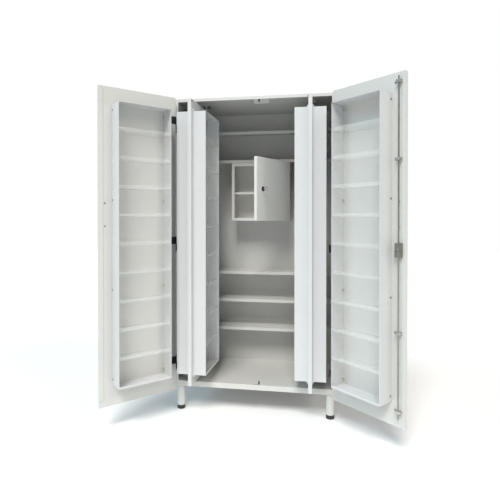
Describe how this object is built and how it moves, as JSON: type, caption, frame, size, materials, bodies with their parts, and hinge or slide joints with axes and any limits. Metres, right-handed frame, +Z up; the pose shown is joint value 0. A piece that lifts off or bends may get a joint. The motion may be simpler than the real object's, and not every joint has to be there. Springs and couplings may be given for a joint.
{
  "type": "medicine cabinet",
  "caption": "Standing steel medicine cabinet with two rack doors, swinging inner leaves, back shelves, a small lockable safe and a rod lock.",
  "frame": {"origin": "on the floor, on the middle plane of the carcass, midway from its back to the front of the open doors", "axes": "+Z up, -Y towards the user, +X to the right as seen from the front"},
  "size_m": [1.6721, 0.9038, 1.94],
  "materials": {
    "grey_paint": "satin powder coat",
    "white_paint": "satin powder coat",
    "black_hinge": "semi-gloss",
    "foot_plastic": "matte",
    "clear_tray": "clear acrylic",
    "bare_steel": "zinc plated"
  },
  "bodies": {
    "cabinet": {"side_left": "grey_paint", "side_right": "grey_paint", "back_panel": "grey_paint", "top_panel": "grey_paint", "bottom_panel": "grey_paint", "legs": "grey_paint", "feet": "foot_plastic", "shelf_1": "grey_paint", "shelf_2": "grey_paint", "shelf_3": "grey_paint", "shelf_4": "grey_paint", "shelf_5": "grey_paint", "shelf_clips": "bare_steel", "strike_bracket": "white_paint", "leaf_bearings": "bare_steel", "hinge_leaves_body": "black_hinge", "hinge_pins": "bare_steel", "safe_body": "grey_paint", "safe_shelf": "grey_paint", "safe_pin": "bare_steel"},
    "left_door": {"left_door_skin": "grey_paint", "left_door_inner": "grey_paint", "left_door_rack": "white_paint", "left_door_rails": "white_paint", "left_door_trays": "clear_tray", "left_door_screws": "bare_steel", "left_door_hinges": "black_hinge", "left_door_pull": "bare_steel", "overlap_strip": "grey_paint"},
    "right_door": {"right_door_skin": "grey_paint", "right_door_inner": "grey_paint", "right_door_rack": "white_paint", "right_door_rails": "white_paint", "right_door_trays": "clear_tray", "right_door_screws": "bare_steel", "right_door_hinges": "black_hinge", "right_door_pull": "bare_steel", "lock_case": "bare_steel", "rod_guides": "bare_steel", "lock_rose": "bare_steel"},
    "lock_works": {"lock_knob": "bare_steel", "lock_cam": "bare_steel"},
    "upper_rod": {"rod_upper": "bare_steel"},
    "lower_rod": {"rod_lower": "bare_steel"},
    "left_leaf": {"left_leaf_panel": "white_paint", "left_leaf_pivots": "bare_steel", "left_leaf_rack_front": "white_paint", "left_leaf_rack_rear": "white_paint", "left_leaf_rails": "white_paint", "left_leaf_trays": "clear_tray"},
    "right_leaf": {"right_leaf_panel": "white_paint", "right_leaf_pivots": "bare_steel", "right_leaf_rack_front": "white_paint", "right_leaf_rack_rear": "white_paint", "right_leaf_rails": "white_paint", "right_leaf_trays": "clear_tray"},
    "safe_door": {"safe_door": "grey_paint", "safe_lock": "bare_steel"},
    "safe_key": {"safe_plug": "bare_steel", "safe_key": "bare_steel"}
  },
  "joints": [
    {"name": "left_door_swing", "type": "hinge", "parent": "cabinet", "child": "left_door", "pos_m": [-0.483, -0.0725, 0.14], "axis": [0, 0, -1], "range_deg": [-134, 0]},
    {"name": "right_door_swing", "type": "hinge", "parent": "cabinet", "child": "right_door", "pos_m": [0.483, -0.0725, 0.14], "axis": [0, 0, 1], "range_deg": [-136.5, 0]},
    {"name": "left_leaf_swing", "type": "hinge", "parent": "cabinet", "child": "left_leaf", "pos_m": [-0.345, 0.159, 0.182], "axis": [0, 0, -1], "range_deg": [-92.51, 0]},
    {"name": "right_leaf_swing", "type": "hinge", "parent": "cabinet", "child": "right_leaf", "pos_m": [0.345, 0.159, 0.182], "axis": [0, 0, 1], "range_deg": [-90.51, 0]},
    {"name": "safe_door_swing", "type": "hinge", "parent": "cabinet", "child": "safe_door", "pos_m": [0.198, 0.275, 1.18448], "axis": [0, 0, 1], "range_deg": [-64.01, 0]},
    {"name": "lock_turn", "type": "hinge", "parent": "right_door", "child": "lock_works", "pos_m": [0.81825, -0.38167, 1.04], "axis": [0.6884, 0.7254, 0], "range_deg": [0, 90.01]},
    {"name": "upper_rod_slide", "type": "slide", "parent": "right_door", "child": "upper_rod", "axis": [0, 0, 1], "range_m": [0, 0.016]},
    {"name": "lower_rod_slide", "type": "slide", "parent": "right_door", "child": "lower_rod", "axis": [0, 0, -1], "range_m": [0, 0.01601]},
    {"name": "safe_key_turn", "type": "hinge", "parent": "safe_door", "child": "safe_key", "pos_m": [0.05783, -0.02379, 1.37823], "axis": [0.8988, -0.4384, 0], "range_deg": [0, 90]}
  ],
  "couplings": [
    {"joint": "left_leaf_swing", "follows": "left_door_swing", "ratio": 0.6903},
    {"joint": "right_leaf_swing", "follows": "right_door_swing", "ratio": 0.663},
    {"joint": "safe_door_swing", "follows": "right_door_swing", "ratio": 0.46886},
    {"joint": "lock_turn", "follows": "upper_rod_slide", "rad_per_m": 98.175},
    {"joint": "lower_rod_slide", "follows": "upper_rod_slide", "ratio": 1}
  ]
}
